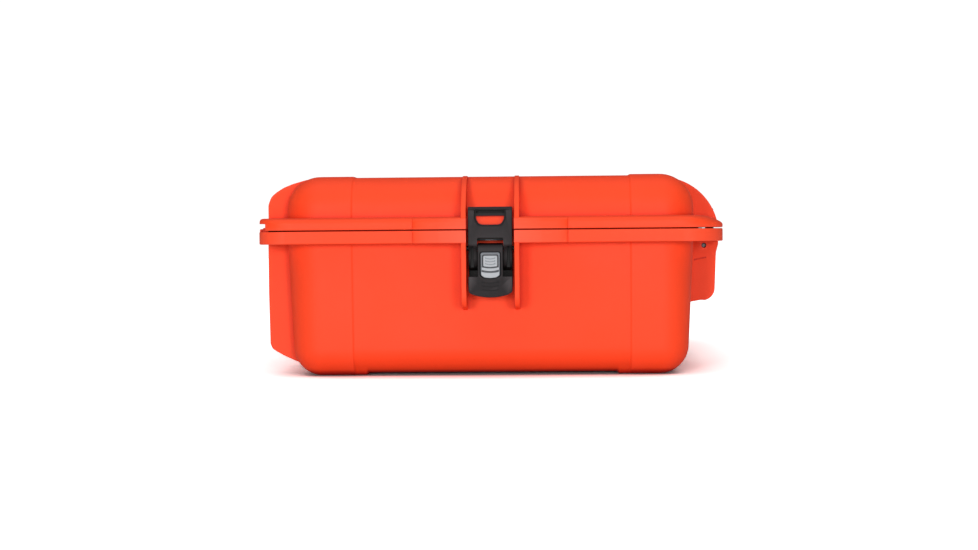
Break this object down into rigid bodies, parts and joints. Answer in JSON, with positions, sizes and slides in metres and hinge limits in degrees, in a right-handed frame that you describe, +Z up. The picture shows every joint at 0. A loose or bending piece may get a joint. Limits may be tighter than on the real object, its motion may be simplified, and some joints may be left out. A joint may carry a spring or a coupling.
{
  "type": "hard equipment case",
  "caption": "Moulded waterproof equipment case with a hinged lid, over-centre draw latches on the front and both ends, and a folding carrying handle.",
  "frame": {"origin": "centre of the bounding box in plan, on the surface that the feet stand on", "axes": "+X out of the front, where the handle and two latches are; +Y along the case's length; +Z up"},
  "size_m": [0.5066, 0.6402, 0.218],
  "materials": {
    "shell": "finely textured bright orange moulded resin",
    "black_plastic": "satin charcoal moulded nylon",
    "slide_button": "satin silver grey",
    "steel": "plain stainless",
    "gasket": "matt black seal",
    "soft_grip": "matt soft overmoulding"
  },
  "bodies": {
    "base": {"base_shell": "shell", "hinge_pin_1": "steel", "hinge_pin_2": "steel", "hinge_pin_3": "steel", "lever_pin_front_left": "steel", "lever_pin_front_right": "steel", "lever_pin_near_end": "steel", "lever_pin_far_end": "steel", "handle_pin_left": "steel", "handle_pin_right": "steel", "valve_body": "black_plastic", "valve_nut": "black_plastic", "valve_seal": "gasket", "base_padlock_eyelet_left": "steel", "base_padlock_eyelet_right": "steel"},
    "lid": {"lid_shell": "shell", "lid_gasket": "gasket", "lid_padlock_eyelet_left": "steel", "lid_padlock_eyelet_right": "steel"},
    "handle": {"handle_frame": "black_plastic", "handle_grip": "soft_grip"},
    "lever_front_left": {"lever_front_left": "black_plastic", "claw_pin_front_left": "steel"},
    "claw_front_left": {"claw_front_left": "black_plastic", "latch_spring_front_left": "steel"},
    "slide_lock_front_left": {"slide_lock_front_left": "slide_button"},
    "lever_front_right": {"lever_front_right": "black_plastic", "claw_pin_front_right": "steel"},
    "claw_front_right": {"claw_front_right": "black_plastic", "latch_spring_front_right": "steel"},
    "slide_lock_front_right": {"slide_lock_front_right": "slide_button"},
    "lever_near_end": {"lever_near_end": "black_plastic", "claw_pin_near_end": "steel"},
    "claw_near_end": {"claw_near_end": "black_plastic", "latch_spring_near_end": "steel"},
    "slide_lock_near_end": {"slide_lock_near_end": "slide_button"},
    "lever_far_end": {"lever_far_end": "black_plastic", "claw_pin_far_end": "steel"},
    "claw_far_end": {"claw_far_end": "black_plastic", "latch_spring_far_end": "steel"},
    "slide_lock_far_end": {"slide_lock_far_end": "slide_button"}
  },
  "joints": [
    {"name": "lid_hinge", "type": "hinge", "parent": "base", "child": "lid", "pos_m": [-0.2478, 0, 0.1586], "axis": [0, -1, 0], "range_deg": [0, 100]},
    {"name": "handle_swing", "type": "hinge", "parent": "base", "child": "handle", "pos_m": [0.2317, 0, 0.136], "axis": [0, -1, 0], "range_deg": [0, 90]},
    {"name": "lever_front_left_turn", "type": "hinge", "parent": "base", "child": "lever_front_left", "pos_m": [0.2357, -0.14, 0.1388], "axis": [0, -1, 0], "range_deg": [0, 90]},
    {"name": "claw_front_left_turn", "type": "hinge", "parent": "lever_front_left", "child": "claw_front_left", "pos_m": [0.2337, -0.14, 0.12], "axis": [0, -1, 0], "range_deg": [-90, 0]},
    {"name": "slide_lock_front_left_travel", "type": "slide", "parent": "lever_front_left", "child": "slide_lock_front_left", "axis": [0, 0, 1], "range_m": [0, 0.004]},
    {"name": "lever_front_right_turn", "type": "hinge", "parent": "base", "child": "lever_front_right", "pos_m": [0.2357, 0.14, 0.1388], "axis": [0, -1, 0], "range_deg": [0, 90]},
    {"name": "claw_front_right_turn", "type": "hinge", "parent": "lever_front_right", "child": "claw_front_right", "pos_m": [0.2337, 0.14, 0.12], "axis": [0, -1, 0], "range_deg": [-90, 0]},
    {"name": "slide_lock_front_right_travel", "type": "slide", "parent": "lever_front_right", "child": "slide_lock_front_right", "axis": [0, 0, 1], "range_m": [0, 0.004]},
    {"name": "lever_near_end_turn", "type": "hinge", "parent": "base", "child": "lever_near_end", "pos_m": [-0.0038, -0.3025, 0.1388], "axis": [-1, 0, 0], "range_deg": [0, 90]},
    {"name": "claw_near_end_turn", "type": "hinge", "parent": "lever_near_end", "child": "claw_near_end", "pos_m": [-0.0038, -0.3005, 0.12], "axis": [-1, 0, 0], "range_deg": [-90, 0]},
    {"name": "slide_lock_near_end_travel", "type": "slide", "parent": "lever_near_end", "child": "slide_lock_near_end", "axis": [0, 0, 1], "range_m": [0, 0.004]},
    {"name": "lever_far_end_turn", "type": "hinge", "parent": "base", "child": "lever_far_end", "pos_m": [-0.0038, 0.3025, 0.1388], "axis": [1, 0, 0], "range_deg": [0, 90]},
    {"name": "claw_far_end_turn", "type": "hinge", "parent": "lever_far_end", "child": "claw_far_end", "pos_m": [-0.0038, 0.3005, 0.12], "axis": [1, 0, 0], "range_deg": [-90, 0]},
    {"name": "slide_lock_far_end_travel", "type": "slide", "parent": "lever_far_end", "child": "slide_lock_far_end", "axis": [0, 0, 1], "range_m": [0, 0.004]}
  ],
  "couplings": [
    {"joint": "claw_front_left_turn", "follows": "lever_front_left_turn", "ratio": -1},
    {"joint": "claw_front_right_turn", "follows": "lever_front_right_turn", "ratio": -1},
    {"joint": "claw_near_end_turn", "follows": "lever_near_end_turn", "ratio": -1},
    {"joint": "claw_far_end_turn", "follows": "lever_far_end_turn", "ratio": -1}
  ]
}
